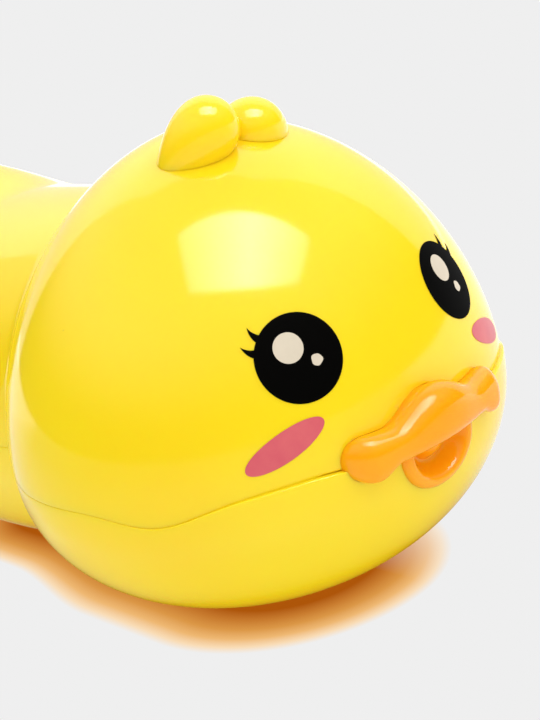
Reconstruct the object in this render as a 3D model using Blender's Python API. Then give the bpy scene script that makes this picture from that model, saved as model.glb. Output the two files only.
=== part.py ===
"""Hard plastic toy duck: a hollow two-piece shell with a big round head in front of a low body.

The duck faces -Y, its right side is -X and it stands on z = 0.
Everything is modelled about the middle of the head at the height of the seam,
and moved onto the floor at the end.
"""
import math

import bmesh
import bpy
import numpy as np
from mathutils import Vector
from mathutils.geometry import delaunay_2d_cdt

# Head
HEAD_HALF_WIDTH = 0.050
HEAD_HALF_LENGTH = 0.0446
HEAD_CROWN = 0.0548            # crown above the seam
HEAD_CROWN_POWER = 1.85        # below 2 makes the crown a little pointed
CHIN_PROUD = 0.0012            # the lower shell stands out past the upper one in front
CHIN_HALF_LENGTH = HEAD_HALF_LENGTH + CHIN_PROUD
CHIN_DEPTH = 0.0348            # underside of the head below the seam
CHIN_POWER = 2.1
FOOT_FLAT = 0.0012             # depth of the flats it stands on

# Body, measured from the middle of the head
BODY_START = 0.012
BODY_FULL = 0.066              # where the body has its full section
BODY_END = 0.116               # tip of the tail
BODY_HALF_WIDTH = 0.0385
BACK_HEIGHT = 0.0402
BELLY_DEPTH = 0.0348
BODY_POWER = 2.15
NECK_PINCH = 0.10              # share of the section lost over NECK_REACH
NECK_REACH = 0.040
NECK_FILLET = 0.004
TAIL_RISE = 0.032
TAIL_RISE_POWER = 1.8
TAIL_TAPER_POWER = 2.2

# Shell walls and seam
WALL = 0.0022
SEAM_GAP = 0.0003
SEAM_DIP = 0.0030              # the seam sags below the cheeks
SEAM_DIP_PLACE = -0.0215
SEAM_DIP_SPREAD = 0.0085
SEAM_LEVEL = 0.0011
HEAD_RINGS = 18                # rings in front of the middle of the head
BODY_RINGS = 20
TAIL_RINGS = 12
ARC_STEPS = 22

# Bill and mouth
BILL_HALF_SPAN = 0.0189
BILL_LOBE_PLACE = 0.0150
BILL_VALLEY_PLACE = 0.0105
BILL_HUMP_TOP = 0.0090         # heights above the seam's middle plane
BILL_VALLEY_TOP = 0.0052
BILL_LOBE_TOP = 0.0055
BILL_MIDDLE_UNDER = -0.0010
BILL_LOBE_UNDER = -0.0027
BILL_DEPTH = 0.0058
BILL_VALLEY_DEPTH = 0.0056
BILL_LOBE_DEPTH = 0.0044
BILL_HUMP_POWER = 1.24         # above 1 makes the hump's crest broader and its flanks steeper
BILL_BULGE = 0.3               # share of the depth at which the bar is thickest
BILL_ROOT = 2.5                # how much deeper the bar goes behind the face than its section would
BILL_UNDER_POWER = 3.0         # squarer section below the middle than above
BILL_STEPS = 30
BILL_SIDES = 16
MOUTH_HEIGHT = -0.0019
MOUTH_HALF_WIDTH = 0.0089
MOUTH_DROP = 0.0082
MOUTH_LIP = 0.0012             # how far the lower lip stands off the chin
MOUTH_LIP_ROUND = 0.0011
MOUTH_RECESS = 0.64            # recess size as a share of the lip
MOUTH_RECESS_ROUND = 0.0018
MOUTH_RECESS_DEPTH = 0.0040
MOUTH_PLUG = 0.0070            # how far the plug reaches back from the chin
MOUTH_SIDES = 36
TONGUE_SHARE = 0.42            # tongue size as a share of the lip
TONGUE_RISE = 0.0026

# Tufts
RIGHT_TUFT_OUT = 0.0092
RIGHT_TUFT_FORWARD = 0.0103
RIGHT_TUFT_SEAT = 0.0018       # middle of the tuft above the crown's surface
LEFT_TUFT_OUT = 0.0070
LEFT_TUFT_FORWARD = 0.0081
LEFT_TUFT_SEAT = -0.0031       # the left tuft is sunk deeper, so it looks smaller
TUFT_LENGTH = 0.0195
TUFT_WIDTH = 0.0120
TUFT_THICKNESS = 0.0114
TUFT_TAPER = 0.35              # thinner towards the tail, fatter in front
TUFT_PITCH = math.radians(41)  # long axis up from level
TUFT_TOE_IN = math.radians(49)  # plan angle of the long axis off straight ahead
TUFT_PEG_RADIUS = 0.0022
TUFT_PEG_LENGTH = 0.0045
TUFT_PEG_START = 0.0026        # the peg begins inside the tuft

# Face prints
EYE_OUT = 0.0188
EYE_UP = 0.0204
EYE_RADIUS = 0.0076
EYE_SIDES = 40
EYE_TURN = math.radians(13)
BIG_GLINT = (-0.0008, 0.0023, 0.0026)    # across, up, radius
SMALL_GLINT = (0.0024, -0.0018, 0.0010)
LASH_ANGLES = (math.radians(43), math.radians(23))
LASH_BEND = math.radians(5.5)
LASH_LENGTH = 0.0023
LASH_HALF_BASE = math.radians(6.5)
LASH_STEPS = 3
CHEEK_OUT = 0.0262
CHEEK_UP = 0.0076
CHEEK_HALF_LENGTH = 0.0078
CHEEK_HALF_HEIGHT = 0.00245
CHEEK_TILT = math.radians(19)
PRINT_LIFT = 0.0003
PRINT_THICK = 0.0002
PRINT_GRID = 0.0024

CLEARANCE = 0.0003
FLOOR = -(CHIN_DEPTH - FOOT_FLAT)

YELLOW = (0.94, 0.80, 0.02, 1.0)
ORANGE = (1.0, 0.40, 0.01, 1.0)
BLACK = (0.004, 0.004, 0.004, 1.0)
CREAM = (0.84, 0.80, 0.74, 1.0)
PINK = (0.74, 0.14, 0.16, 1.0)


def clear_scene():
    for obj in list(bpy.data.objects):
        bpy.data.objects.remove(obj, do_unlink=True)


def plastic(name, colour, roughness=0.2):
    material = bpy.data.materials.new(name)
    material.use_nodes = True
    shader = material.node_tree.nodes["Principled BSDF"]
    shader.inputs["Base Color"].default_value = colour
    shader.inputs["Roughness"].default_value = roughness
    shader.inputs["Metallic"].default_value = 0.0
    material.diffuse_color = colour
    return material


def add_object(name, bm, material, sharp_angle=math.radians(35)):
    bmesh.ops.recalc_face_normals(bm, faces=bm.faces)
    mesh = bpy.data.meshes.new(name)
    bm.to_mesh(mesh)
    bm.free()
    mesh.materials.append(material)
    mesh.shade_smooth()
    mesh.set_sharp_from_angle(angle=sharp_angle)
    obj = bpy.data.objects.new(name, mesh)
    bpy.context.collection.objects.link(obj)
    return obj


def hide_helper(obj):
    obj.hide_render = True
    obj.display_type = "WIRE"


def boolean(obj, other, operation):
    modifier = obj.modifiers.new(operation.title() + " " + other.name, "BOOLEAN")
    modifier.operation = operation
    modifier.solver = "EXACT"
    modifier.object = other


# Outer form

def tail_share(y):
    return np.clip((y - BODY_FULL) / (BODY_END - BODY_FULL), 0.0, 1.0)


def seam_height(y):
    """Height of the seam above the middle plane of the head."""
    dip = SEAM_DIP * np.exp(-((y - SEAM_DIP_PLACE) / SEAM_DIP_SPREAD) ** 2)
    fade = 1.0 - np.clip((y - BODY_START) / (BODY_FULL - BODY_START), 0.0, 1.0)
    front = np.clip((y + HEAD_HALF_LENGTH) / (0.1 * HEAD_HALF_LENGTH), 0.0, 1.0)
    level = (SEAM_LEVEL - dip) * fade * front
    return level + TAIL_RISE * tail_share(y) ** TAIL_RISE_POWER


def head_value(x, y, z, upper):
    """Below 1 inside the head, 1 on its surface."""
    half_length = HEAD_HALF_LENGTH if upper else np.where(y < 0, CHIN_HALF_LENGTH, HEAD_HALF_LENGTH)
    depth = HEAD_CROWN if upper else CHIN_DEPTH
    power = HEAD_CROWN_POWER if upper else CHIN_POWER
    flat = np.sqrt((x / HEAD_HALF_WIDTH) ** 2 + (y / half_length) ** 2)
    return flat ** power + (np.abs(z) / depth) ** power


def head_reach(y, z0, angle, upper):
    """Distance from the ring's centre (0, y, z0) to the head's surface."""
    low = np.zeros(np.broadcast(y, angle).shape)
    high = np.full(low.shape, 2.0 * max(HEAD_HALF_WIDTH, HEAD_CROWN))
    for _ in range(40):
        mid = (low + high) / 2
        inside = head_value(mid * np.cos(angle), y, z0 + mid * np.sin(angle), upper) < 1.0
        low = np.where(inside, mid, low)
        high = np.where(inside, high, mid)
    return low


def body_reach(y, angle, upper):
    """Distance from the ring's centre to the body's surface."""
    share = tail_share(y)
    neck = 1.0 - NECK_PINCH * (np.clip(BODY_FULL - y, 0.0, None) / NECK_REACH) ** 2
    taper = np.sqrt(np.clip(1.0 - share ** TAIL_TAPER_POWER, 0.0, 1.0))
    width = BODY_HALF_WIDTH * neck * np.sqrt(np.clip(1.0 - share ** 2, 0.0, 1.0)) + 1e-9
    height = (BACK_HEIGHT if upper else BELLY_DEPTH * neck) * taper + 1e-9
    reach = ((np.abs(np.cos(angle)) / width) ** BODY_POWER
             + (np.abs(np.sin(angle)) / height) ** BODY_POWER) ** (-1.0 / BODY_POWER)
    return np.where(y < BODY_START, 0.0, reach)


def smooth_max(a, b, fillet):
    near = np.clip(1.0 - np.abs(a - b) / fillet, 0.0, 1.0)
    return np.maximum(a, b) + near ** 2 * fillet / 4


def ring_places(front):
    """Where the rings stand along Y: close together at the tip of the face and of the tail."""
    head = front * np.cos(np.linspace(0.0, math.pi / 2, HEAD_RINGS + 1))
    body = np.linspace(0.0, BODY_FULL, BODY_RINGS + 1)
    tail = BODY_FULL + (BODY_END - BODY_FULL) * np.sin(np.linspace(0.0, math.pi / 2, TAIL_RINGS + 1))
    return np.concatenate([head[:-1], body[:-1], tail])


def outer_form(upper):
    """Grid of surface points: rings along Y, each an arc from the right seam over to the left one."""
    front = -(HEAD_HALF_LENGTH if upper else CHIN_HALF_LENGTH)
    y = ring_places(front)[:, None]
    turn = np.linspace(math.pi, 0.0, ARC_STEPS + 1)[None, :]
    angle = turn if upper else -turn
    z0 = seam_height(y)
    reach = smooth_max(head_reach(y, z0, angle, upper), body_reach(y, angle, upper), NECK_FILLET)
    reach[0] = 0.0
    reach[-1] = 0.0
    x = reach * np.cos(angle)
    z = np.maximum(z0 + reach * np.sin(angle), FLOOR)
    return np.stack([x, np.broadcast_to(y, x.shape), z], axis=-1)


def grid_normals(points):
    along = np.gradient(points, axis=0)
    across = np.gradient(points, axis=1)
    normal = np.cross(along, across)
    length = np.linalg.norm(normal, axis=-1, keepdims=True)
    return normal / np.maximum(length, 1e-12)


def shell_mesh(upper):
    """Half shell: outer form, the same form set in by the wall, and a flat seam rim between them."""
    outer = outer_form(upper)
    normal = grid_normals(outer)
    middle = outer.mean(axis=1, keepdims=True)
    facing = np.sign(np.sum(normal * (outer - middle), axis=-1, keepdims=True))
    inner = outer - normal * facing * WALL
    inner[0] = outer[0] + np.array([0.0, WALL, 0.0])
    inner[-1] = outer[-1] - np.array([0.0, WALL, 0.0])
    rim = seam_height(outer[:, 0, 1]) + (SEAM_GAP / 2) * (1 if upper else -1)
    for grid in (outer, inner):
        grid[:, 0, 2] = rim
        grid[:, -1, 2] = rim
    bm = bmesh.new()
    skins = []
    for grid in (outer, inner):
        rows = []
        for i, row in enumerate(grid):
            if i in (0, len(grid) - 1):
                rows.append([bm.verts.new(row[0])] * len(row))
            else:
                rows.append([bm.verts.new(point) for point in row])
        for first, second in zip(rows, rows[1:]):
            for j in range(len(first) - 1):
                corners = dict.fromkeys((first[j], second[j], second[j + 1], first[j + 1]))
                bm.faces.new(list(corners))
        skins.append(rows)
    for column in (0, -1):
        for k in range(len(skins[0]) - 1):
            corners = (skins[0][k][column], skins[0][k + 1][column],
                       skins[1][k + 1][column], skins[1][k][column])
            bm.faces.new(corners)
    return bm


def surface_point(origin, direction):
    """Where a line from outside meets the upper head form."""
    low, high = 0.0, 0.03
    for _ in range(40):
        mid = (low + high) / 2
        p = origin + direction * mid
        if float(head_value(p.x, p.y, p.z, p.z >= 0)) > 1.0:
            low = mid
        else:
            high = mid
    return origin + direction * high


# Bill

def ease(share):
    """Smooth step from 0 to 1."""
    share = min(max(share, 0.0), 1.0)
    return share * share * (3 - 2 * share)


def bill_section(x):
    """Top, underside and depth of the bill's bar at a distance from its middle."""
    out = abs(x)
    to_valley = ease(out / BILL_VALLEY_PLACE) ** BILL_HUMP_POWER
    to_lobe = ease((out - BILL_VALLEY_PLACE) / (BILL_LOBE_PLACE - BILL_VALLEY_PLACE))
    top = (BILL_HUMP_TOP + (BILL_VALLEY_TOP - BILL_HUMP_TOP) * to_valley
           + (BILL_LOBE_TOP - BILL_VALLEY_TOP) * to_lobe)
    under = BILL_MIDDLE_UNDER + (BILL_LOBE_UNDER - BILL_MIDDLE_UNDER) * to_lobe
    depth = (BILL_DEPTH + (BILL_VALLEY_DEPTH - BILL_DEPTH) * to_valley
             + (BILL_LOBE_DEPTH - BILL_VALLEY_DEPTH) * to_lobe)
    past = max(0.0, (out - BILL_LOBE_PLACE) / (BILL_HALF_SPAN - BILL_LOBE_PLACE))
    close = math.sqrt(max(1 - past ** 2, 0.0))
    return (top + under) / 2, (top - under) / 2 * close, depth * close


def bill_bar(grow=0.0):
    bm = bmesh.new()
    rows = []
    for k in range(BILL_STEPS + 1):
        place = -math.cos(math.pi * k / BILL_STEPS)
        x = (BILL_HALF_SPAN + grow) * place
        mid, half, depth = bill_section(BILL_HALF_SPAN * place)
        face_y = -HEAD_HALF_LENGTH * math.sqrt(1 - (x / HEAD_HALF_WIDTH) ** 2)
        if k in (0, BILL_STEPS):
            rows.append([bm.verts.new((x, face_y, mid))])
            continue
        row = []
        for j in range(BILL_SIDES):
            turn = 2 * math.pi * j / BILL_SIDES
            power = BILL_UNDER_POWER if turn > math.pi else 2.0
            across, rise = math.cos(turn), math.sin(turn)
            size = (abs(across) ** power + abs(rise) ** power) ** (-1 / power)
            share = BILL_BULGE + (1 - BILL_BULGE) * across * size
            if share < 0:
                share *= BILL_ROOT
            out = depth * share + grow * across * size
            row.append(bm.verts.new((x, face_y - out, mid + (half + grow) * rise * size)))
        rows.append(row)
    for first, second in zip(rows, rows[1:]):
        for j in range(BILL_SIDES):
            n = (j + 1) % BILL_SIDES
            corners = (first[j % len(first)], first[n % len(first)],
                       second[n % len(second)], second[j % len(second)])
            bm.faces.new(list(dict.fromkeys(corners)))
    return bm


def chin_recess(x, z):
    """How far the chin's surface at (x, z) lies behind its foremost point."""
    level = (1 - (abs(z) / CHIN_DEPTH) ** CHIN_POWER) ** (2 / CHIN_POWER)
    return CHIN_HALF_LENGTH * (1 - math.sqrt(level - (x / HEAD_HALF_WIDTH) ** 2))


def mouth_cup(grow=0.0, solid=False):
    """Elliptical plug with a rounded lower lip, a recess and a tongue."""
    lip_y = -(CHIN_HALF_LENGTH + MOUTH_LIP)
    back_y = -(CHIN_HALF_LENGTH - MOUTH_PLUG)
    floor_y = lip_y + MOUTH_RECESS_DEPTH
    edge = 1 + grow / MOUTH_HALF_WIDTH
    if solid:
        profile = [(0, lip_y - grow), (edge, lip_y - grow), (edge, back_y + grow), (0, back_y + grow)]
    else:
        crest = 1 - MOUTH_LIP_ROUND / MOUTH_HALF_WIDTH
        bend = MOUTH_RECESS_ROUND / MOUTH_HALF_WIDTH
        profile = [(0, back_y), (1, back_y)]
        for step in range(4):
            turn = math.pi / 6 * step
            profile.append((1 - (1 - crest) * (1 - math.cos(turn)), lip_y + MOUTH_LIP_ROUND * (1 - math.sin(turn))))
        for step in range(5):
            drop = MOUTH_RECESS_DEPTH * ease(step / 4)
            profile.append((MOUTH_RECESS + bend * (1 - step / 2), lip_y + drop))
        for step in range(4):
            out = 1 - step / 3
            profile.append((TONGUE_SHARE * out, floor_y - TONGUE_RISE * (1 - out ** 2)))
    bm = bmesh.new()
    rows = []
    for share, y in profile:
        if share == 0:
            rows.append([bm.verts.new((0, y, MOUTH_HEIGHT))])
            continue
        row = []
        for j in range(MOUTH_SIDES):
            turn = 2 * math.pi * j / MOUTH_SIDES
            x = MOUTH_HALF_WIDTH * share * math.cos(turn)
            z = MOUTH_HEIGHT + MOUTH_DROP * share * math.sin(turn)
            row.append(bm.verts.new((x, y + chin_recess(x, z), z)))
        rows.append(row)
    for first, second in zip(rows, rows[1:]):
        for j in range(MOUTH_SIDES):
            n = (j + 1) % MOUTH_SIDES
            corners = (first[j % len(first)], first[n % len(first)],
                       second[n % len(second)], second[j % len(second)])
            bm.faces.new(list(dict.fromkeys(corners)))
    return bm


def bill(material):
    obj = add_object("bill", bill_bar(), material)
    cup = add_object("mouth_cup_helper", mouth_cup(), material)
    hide_helper(cup)
    boolean(obj, cup, "UNION")
    return obj


# Tufts

def crown_point(x, y):
    """Point of the crown above (x, y), and the outward normal there."""
    flat = math.hypot(x / HEAD_HALF_WIDTH, y / HEAD_HALF_LENGTH)
    z = HEAD_CROWN * (1 - flat ** HEAD_CROWN_POWER) ** (1 / HEAD_CROWN_POWER)
    point = Vector((x, y, z))
    return point, surface_normal(point)


def surface_normal(point):
    step = 1e-5
    x, y, z = point
    upper = z >= 0
    slope = [float(head_value(x + dx, y + dy, z + dz, upper) - head_value(x - dx, y - dy, z - dz, upper))
             for dx, dy, dz in ((step, 0, 0), (0, step, 0), (0, 0, step))]
    return Vector(slope).normalized()


def head_form(grow, columns=64, levels=40):
    """Closed solid of the head's outer form, grown outward."""
    bm = bmesh.new()
    bmesh.ops.create_uvsphere(bm, u_segments=columns, v_segments=levels, radius=1.0)
    for vert in bm.verts:
        direction = vert.co.normalized()
        low, high = 0.0, 0.2
        for _ in range(40):
            mid = (low + high) / 2
            x, y, z = direction * mid
            if float(head_value(x, y, z, z >= 0)) < 1.0:
                low = mid
            else:
                high = mid
        vert.co = direction * (low + grow)
    return bm


def tuft_axes(side):
    """Place and axes of a tuft: its long axis rises forward and inward from the tail."""
    out, forward = (LEFT_TUFT_OUT, LEFT_TUFT_FORWARD) if side > 0 else (RIGHT_TUFT_OUT, RIGHT_TUFT_FORWARD)
    base, normal = crown_point(side * out, -forward)
    ahead = Vector((-side * math.sin(TUFT_TOE_IN), -math.cos(TUFT_TOE_IN), 0.0))
    up = Vector((0.0, 0.0, 1.0))
    long_axis = ahead * math.cos(TUFT_PITCH) + up * math.sin(TUFT_PITCH)
    upright = up * math.cos(TUFT_PITCH) - ahead * math.sin(TUFT_PITCH)
    return base, normal, long_axis, upright


def tuft_lump(side):
    base, _, long_axis, upright = tuft_axes(side)
    across = upright.cross(long_axis)
    centre = base + Vector((0.0, 0.0, LEFT_TUFT_SEAT if side > 0 else RIGHT_TUFT_SEAT))
    bm = bmesh.new()
    bmesh.ops.create_uvsphere(bm, u_segments=24, v_segments=16, radius=1.0)
    for vert in bm.verts:
        along, side_share, up_share = vert.co.z, vert.co.x, vert.co.y
        fat = 1 + TUFT_TAPER * along
        vert.co = (centre + long_axis * (along * TUFT_LENGTH / 2)
                   + across * (side_share * fat * TUFT_WIDTH / 2)
                   + upright * (up_share * fat * TUFT_THICKNESS / 2))
    return bm


def peg(side, radius, start, end):
    """Cylinder through the crown under a tuft, from start above the surface down to end below it."""
    base, normal, _, _ = tuft_axes(side)
    bm = bmesh.new()
    bmesh.ops.create_cone(bm, cap_ends=True, segments=20, radius1=radius, radius2=radius, depth=start + end)
    turn = Vector((0.0, 0.0, 1.0)).rotation_difference(normal)
    middle = base + normal * (start - end) / 2
    for vert in bm.verts:
        vert.co = turn @ vert.co + middle
    return bm


def tuft(name, side, form, material):
    obj = add_object(name, tuft_lump(side), material)
    boolean(obj, form, "DIFFERENCE")
    pin = add_object(name + "_peg_helper", peg(side, TUFT_PEG_RADIUS, TUFT_PEG_START, TUFT_PEG_LENGTH), material)
    hide_helper(pin)
    boolean(obj, pin, "UNION")
    return obj


# Face prints

def face_frame(x, z):
    """Point of the face at (x, z) with its tangents to the duck's left and up, and its normal."""
    level = (1 - (z / HEAD_CROWN) ** HEAD_CROWN_POWER) ** (2 / HEAD_CROWN_POWER)
    y = -HEAD_HALF_LENGTH * math.sqrt(level - (x / HEAD_HALF_WIDTH) ** 2)
    point = Vector((x, y, z))
    normal = surface_normal(point)
    left = Vector((0.0, 0.0, 1.0)).cross(normal).normalized()
    return point, left, normal.cross(left), normal


def inside_polygon(u, v, outline):
    hit = False
    for (u1, v1), (u2, v2) in zip(outline, outline[1:] + outline[:1]):
        if (v1 > v) != (v2 > v) and u < u1 + (v - v1) * (u2 - u1) / (v2 - v1):
            hit = not hit
    return hit


def edge_distance(u, v, outline):
    best = 1.0
    for (u1, v1), (u2, v2) in zip(outline, outline[1:] + outline[:1]):
        du, dv = u2 - u1, v2 - v1
        t = max(0.0, min(1.0, ((u - u1) * du + (v - v1) * dv) / (du * du + dv * dv)))
        best = min(best, math.hypot(u - u1 - t * du, v - v1 - t * dv))
    return best


def print_patch(outline, holes, frame):
    """Thin solid that follows the face: a flat outline with holes, laid onto the surface."""
    point, left, up, normal = frame
    loops = [outline] + holes
    coords = []
    edges = []
    for loop in loops:
        first = len(coords)
        coords += [Vector(p) for p in loop]
        edges += [(first + i, first + (i + 1) % len(loop)) for i in range(len(loop))]
    reach = max(math.hypot(*p) for p in outline)
    count = int(reach / PRINT_GRID) + 1
    for i in range(-count, count + 1):
        for j in range(-count, count + 1):
            u = (i + 0.5 * (j % 2)) * PRINT_GRID
            v = j * PRINT_GRID * math.sqrt(3) / 2
            clear = min(edge_distance(u, v, loop) for loop in loops) > 0.4 * PRINT_GRID
            if clear and inside_polygon(u, v, outline) and not any(inside_polygon(u, v, h) for h in holes):
                coords.append(Vector((u, v)))
    flat, _, faces, *_ = delaunay_2d_cdt(coords, edges, [], 1, 1e-7)
    kept = []
    for face in faces:
        u = sum(flat[i][0] for i in face) / len(face)
        v = sum(flat[i][1] for i in face) / len(face)
        if not any(inside_polygon(u, v, h) for h in holes):
            kept.append(face)
    bm = bmesh.new()
    under, over = {}, {}
    for i in sorted({i for face in kept for i in face}):
        start = point + left * flat[i][0] + up * flat[i][1] + normal * 0.01
        foot = surface_point(start, -normal)
        rise = surface_normal(foot)
        under[i] = bm.verts.new(foot + rise * PRINT_LIFT)
        over[i] = bm.verts.new(foot + rise * (PRINT_LIFT + PRINT_THICK))
    used = {}
    for face in kept:
        bm.faces.new([over[i] for i in face])
        bm.faces.new([under[i] for i in reversed(face)])
        for a, b in zip(face, face[1:] + face[:1]):
            used[(a, b)] = True
    for a, b in used:
        if (b, a) not in used:
            bm.faces.new((over[b], over[a], under[a], under[b]))
    return bm


def circle(u, v, radius, count):
    steps = (2 * math.pi * k / count for k in range(count))
    return [(u + radius * math.cos(turn), v + radius * math.sin(turn)) for turn in steps]


def turned(u, v, angle):
    return u * math.cos(angle) - v * math.sin(angle), u * math.sin(angle) + v * math.cos(angle)


def eye_outline(side):
    """Round eye with two curved lashes on its outer upper edge."""
    step = 2 * math.pi / EYE_SIDES
    lashes = [angle if side > 0 else math.pi - angle for angle in LASH_ANGLES]
    clear = LASH_HALF_BASE + 0.3 * step
    rim = [step * k for k in range(EYE_SIDES) if all(abs(step * k - m) > clear for m in lashes)]
    points = [(turn, turn, EYE_RADIUS) for turn in rim]
    for middle in lashes:
        for k in range(-LASH_STEPS, LASH_STEPS + 1):
            share = 1 - abs(k) / LASH_STEPS
            turn = middle + side * LASH_BEND * share ** 2 + LASH_HALF_BASE * k / LASH_STEPS
            points.append((middle + 0.01 * k, turn, EYE_RADIUS + LASH_LENGTH * share))
    return [(r * math.cos(turn), r * math.sin(turn)) for _, turn, r in sorted(points)]


def glint_places(side):
    turn = -side * EYE_TURN
    places = []
    for u, v, radius in (BIG_GLINT, SMALL_GLINT):
        places.append((*turned(u, v, turn), radius))
    return places


def face_prints():
    black = plastic("black print", BLACK, 0.3)
    cream = plastic("cream print", CREAM, 0.3)
    pink = plastic("pink print", PINK, 0.35)
    for side, name in ((-1, "right"), (1, "left")):
        frame = face_frame(side * EYE_OUT, EYE_UP)
        glints = glint_places(side)
        holes = [circle(u, v, r + CLEARANCE / 2, 16) for u, v, r in glints]
        add_object("eye_" + name, print_patch(eye_outline(side), holes, frame), black)
        for (u, v, r), size in zip(glints, ("big", "small")):
            disc = circle(u, v, r - CLEARANCE / 2, 16)
            add_object("glint_" + name + "_" + size, print_patch(disc, [], frame), cream)
        oval = [turned(CHEEK_HALF_LENGTH * u, CHEEK_HALF_HEIGHT * v, -side * CHEEK_TILT)
                for u, v in circle(0.0, 0.0, 1.0, 32)]
        frame = face_frame(side * CHEEK_OUT, CHEEK_UP)
        add_object("cheek_" + name, print_patch(oval, [], frame), pink)


def stand_on_floor():
    """Move everything so that the box's middle is over the origin and its underside is at z = 0."""
    depsgraph = bpy.context.evaluated_depsgraph_get()
    points = []
    for obj in bpy.data.objects:
        if obj.type == "MESH" and not obj.hide_render:
            mesh = obj.evaluated_get(depsgraph).to_mesh()
            points += [vert.co.copy() for vert in mesh.vertices]
    low = Vector(min(p[i] for p in points) for i in range(3))
    high = Vector(max(p[i] for p in points) for i in range(3))
    shift = Vector((-(low.x + high.x) / 2, -(low.y + high.y) / 2, -low.z))
    for obj in bpy.data.objects:
        obj.location = shift


def main():
    clear_scene()
    yellow = plastic("yellow plastic", YELLOW, 0.12)
    orange = plastic("orange plastic", ORANGE, 0.15)
    upper = add_object("upper_shell", shell_mesh(True), yellow)
    lower = add_object("lower_shell", shell_mesh(False), yellow)
    bill(orange)
    for name, bm in (("bill_opening", bill_bar(CLEARANCE)), ("mouth_opening", mouth_cup(CLEARANCE, True))):
        cutter = add_object(name, bm, orange)
        hide_helper(cutter)
        boolean(upper, cutter, "DIFFERENCE")
        boolean(lower, cutter, "DIFFERENCE")
    form = add_object("head_form_helper", head_form(CLEARANCE), yellow)
    hide_helper(form)
    for side, name in ((-1, "right"), (1, "left")):
        tuft("tuft_" + name, side, form, yellow)
        hole = add_object("tuft_hole_" + name,
                          peg(side, TUFT_PEG_RADIUS + CLEARANCE, TUFT_PEG_START, TUFT_PEG_LENGTH), yellow)
        hide_helper(hole)
        boolean(upper, hole, "DIFFERENCE")
    face_prints()
    stand_on_floor()


if __name__ == "__main__":
    main()
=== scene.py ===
"""Looks of the hard plastic toy duck: glossy shells, bill, tufts and printed face, in a pale studio.

The duck faces -Y, its right side is -X and it stands on z = 0. Its forms are worked out about the
middle of the head at the height of the seam, and moved to the head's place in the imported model.
"""

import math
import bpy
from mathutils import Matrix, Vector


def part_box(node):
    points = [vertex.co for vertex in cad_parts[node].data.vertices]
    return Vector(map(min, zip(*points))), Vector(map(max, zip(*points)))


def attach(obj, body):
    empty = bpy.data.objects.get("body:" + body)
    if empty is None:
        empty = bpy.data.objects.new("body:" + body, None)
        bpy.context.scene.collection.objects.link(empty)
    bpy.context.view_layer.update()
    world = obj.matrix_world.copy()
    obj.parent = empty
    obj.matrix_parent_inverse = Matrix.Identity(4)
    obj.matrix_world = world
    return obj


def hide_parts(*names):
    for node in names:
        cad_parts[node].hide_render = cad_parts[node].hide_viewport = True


bl_info = {
    "name": "Toy Duck Looks",
    "version": (1, 0, 0),
    "blender": (4, 5, 0),
    "location": "3D View > Sidebar > Duck",
    "description": "Builds the finished surfaces of a hard plastic toy duck and the studio around it",
    "category": "Object",
}

import bmesh
import bpy
import numpy as np
from bpy.props import FloatProperty, FloatVectorProperty, PointerProperty
from mathutils import Matrix, Vector

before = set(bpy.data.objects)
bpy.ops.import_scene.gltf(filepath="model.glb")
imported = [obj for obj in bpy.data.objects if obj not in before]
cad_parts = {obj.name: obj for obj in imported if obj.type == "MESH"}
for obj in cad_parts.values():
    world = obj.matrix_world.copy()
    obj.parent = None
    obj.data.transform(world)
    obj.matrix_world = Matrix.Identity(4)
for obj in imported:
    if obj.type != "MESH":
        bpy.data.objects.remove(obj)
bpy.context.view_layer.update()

PICTURE_WIDTH, PICTURE_HEIGHT = 540, 720  # pixels
SENSOR = 36  # millimetres along the picture's longer side
WELD = 2e-6  # points nearer to each other than this are one
SHARP_EDGE = math.radians(40)  # edges that bend further stay sharp
OPENING_ROOM = 0.00002  # room round the bill in the shells' openings
SEAT_ROOM = 0.00006  # room between the tufts and the crown
PRINT_LIFT = 0.00004  # underside of a film of ink above the face
SOFTBOX_HEIGHT = 2.0  # softbox above the middle of the head
SOFTBOX_TOWARD = Vector((0.024, -0.567, 1.0))  # from the head to the softbox, per metre of height
SOFTBOX_ACROSS = Vector((0.92, -0.78, 0.0))  # along the softbox's longer side
BACKDROP_TOWARD = Vector((0.743, 0.669, 0.0))  # from the head to the backdrop
WALL_TOWARD = (-0.779, 0.627, 0.0)  # from the head to the lighter wall
# Painted on the floor round the shell's foot: shadow and warm light, dark amber at the foot and pale further
# off, and a painted reflection of it for the gloss
FOOT_SHADE_AND_GLOW_STOPS = ((0.68, (0.58, 0.20, 0.028)), (0.77, (0.71, 0.31, 0.062)),
              (0.86, (0.86, 0.48, 0.17)), (0.94, (0.95, 0.72, 0.47)))
MIRRORED_FOOT_SHADE = (0.30, 0.11, 0.01)  # the glow at the duck's foot, as its gloss mirrors it


def length(name, description, default):
    return FloatProperty(name=name, description=description, default=default, unit="LENGTH", precision=5)


def number(name, description, default):
    return FloatProperty(name=name, description=description, default=default, precision=4)


def turn(name, description, degrees):
    return FloatProperty(name=name, description=description, default=math.radians(degrees), unit="ROTATION")


def colour(name, description, default):
    return FloatVectorProperty(name=name, description=description, default=default,
                               subtype="COLOR", size=3, min=0.0, max=1.0)


# Sizes and colours

class DuckHeadSizes(bpy.types.PropertyGroup):
    half_width: length("Half width", "Middle of the head to its side", 0.050)
    half_length: length("Half length", "Middle of the head to the face", 0.0446)
    crown: length("Crown", "Height of the crown above the seam", 0.0548)
    crown_power: number("Crown power", "Below 2 makes the crown a little pointed", 1.85)
    chin_proud: length("Chin proud", "How far the lower shell stands out past the upper one", 0.0012)
    chin_depth: length("Chin depth", "Underside of the head below the seam", 0.0348)
    chin_power: number("Chin power", "Above 2 makes the chin a little square", 2.1)
    foot_flat: length("Foot flat", "Depth of the flats it stands on", 0.0012)


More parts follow.
